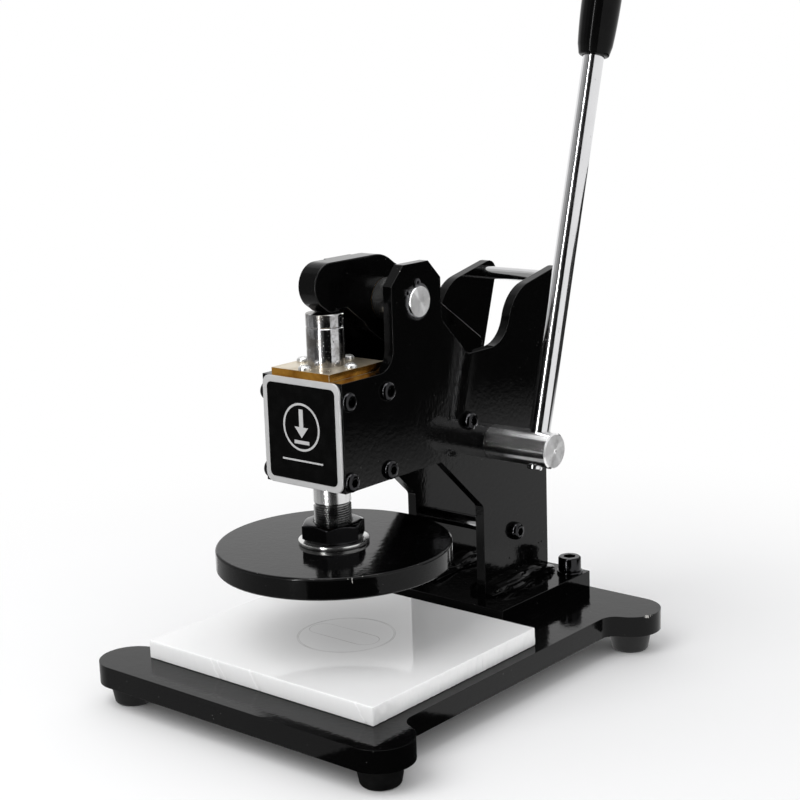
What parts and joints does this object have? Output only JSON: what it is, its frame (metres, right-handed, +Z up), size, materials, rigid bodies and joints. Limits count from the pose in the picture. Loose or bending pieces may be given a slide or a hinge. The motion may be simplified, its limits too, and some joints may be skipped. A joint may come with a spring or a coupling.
{
  "type": "hand-lever die cutting press",
  "caption": "Bench press with a hand lever whose cam and rocker drive a sprung ram and round press plate down onto a cutting board between steel side plates.",
  "frame": {"origin": "on the table plane under the feet, at the centre of the bounding box with the lever at rest", "axes": "+X towards the lever side (the operator's right), +Y towards the back, +Z up along the ram"},
  "size_m": [0.252, 0.3374, 0.4997],
  "materials": {
    "black_paint": "gloss",
    "rubber": "matte",
    "board": "matte",
    "chrome": "polished",
    "black_oxide": "satin",
    "zinc": "satin",
    "dark_steel": "satin",
    "brass": "satin",
    "bronze": "satin",
    "aluminium": "satin",
    "panel": "gloss",
    "grip": "gloss"
  },
  "bodies": {
    "frame": {"base_plate": "black_paint", "foot_front_left": "rubber", "foot_front_right": "rubber", "foot_rear_left": "rubber", "foot_rear_right": "rubber", "foot_screws": "zinc", "bracket_plate": "black_paint", "bracket_screws": "black_oxide", "bracket_washers": "black_oxide", "bracket_under_screws": "zinc", "side_plate_left": "black_paint", "side_plate_right": "black_paint", "weld_beads": "black_paint", "head_block": "black_paint", "head_bolts": "black_oxide", "tie_bolts": "black_oxide", "mid_tie_bar": "black_oxide", "lower_tie_bar": "black_oxide", "top_cross_bar": "chrome", "nameplate": "aluminium", "nameplate_panel": "panel", "brass_plate": "brass", "brass_screws": "zinc", "lower_bush": "bronze", "guide_screw": "dark_steel", "pivot_pin": "chrome", "pivot_circlips": "black_oxide", "pivot_spacers": "zinc", "return_spring": "dark_steel"},
    "lever": {"lever_shaft": "chrome", "cam": "dark_steel", "cam_pin": "dark_steel", "shaft_sleeves": "dark_steel", "lever_rod": "chrome", "lever_grip": "grip"},
    "rocker": {"rocker_arm": "black_paint", "rocker_bush": "bronze"},
    "ram": {"ram": "chrome", "ram_cap": "chrome", "ram_collar": "dark_steel"},
    "plate_washer": {"plate_washer": "zinc"},
    "press_plate": {"press_plate": "black_paint", "lock_nut": "black_oxide"},
    "board": {"cutting_board": "board"}
  },
  "joints": [
    {"name": "lever_swing", "type": "hinge", "parent": "frame", "child": "lever", "pos_m": [0, 0.06129, 0.147], "axis": [1, 0, 0], "range_deg": [0, 90]},
    {"name": "rocker_tilt", "type": "hinge", "parent": "frame", "child": "rocker", "pos_m": [0, -0.01571, 0.2533], "axis": [1, 0, 0], "range_deg": [0, 13.83]},
    {"name": "ram_slide", "type": "slide", "parent": "frame", "child": "ram", "axis": [0, 0, -1], "range_m": [0, 0.012], "stiffness_N_per_m": 3000, "springref_m": -0.02, "deforming": ["return_spring"]},
    {"name": "plate_height", "type": "slide", "parent": "ram", "child": "plate_washer", "axis": [0, 0, 1], "range_m": [-0.006, 0.003]},
    {"name": "plate_turn", "type": "hinge", "parent": "plate_washer", "child": "press_plate", "pos_m": [0, -0.06521, 0.1042], "axis": [0, 0, 1], "range_deg": [-1440, 720]},
    {"name": "board_slide", "type": "slide", "parent": "frame", "child": "board", "axis": [0, -1, 0], "range_m": [-0.008, 0.12]}
  ],
  "couplings": [
    {"joint": "rocker_tilt", "follows": "lever_swing", "ratio": 0.15358},
    {"joint": "ram_slide", "follows": "lever_swing", "m_per_rad": 0.0076394},
    {"joint": "plate_height", "follows": "plate_turn", "m_per_rad": 0.00023873}
  ]
}
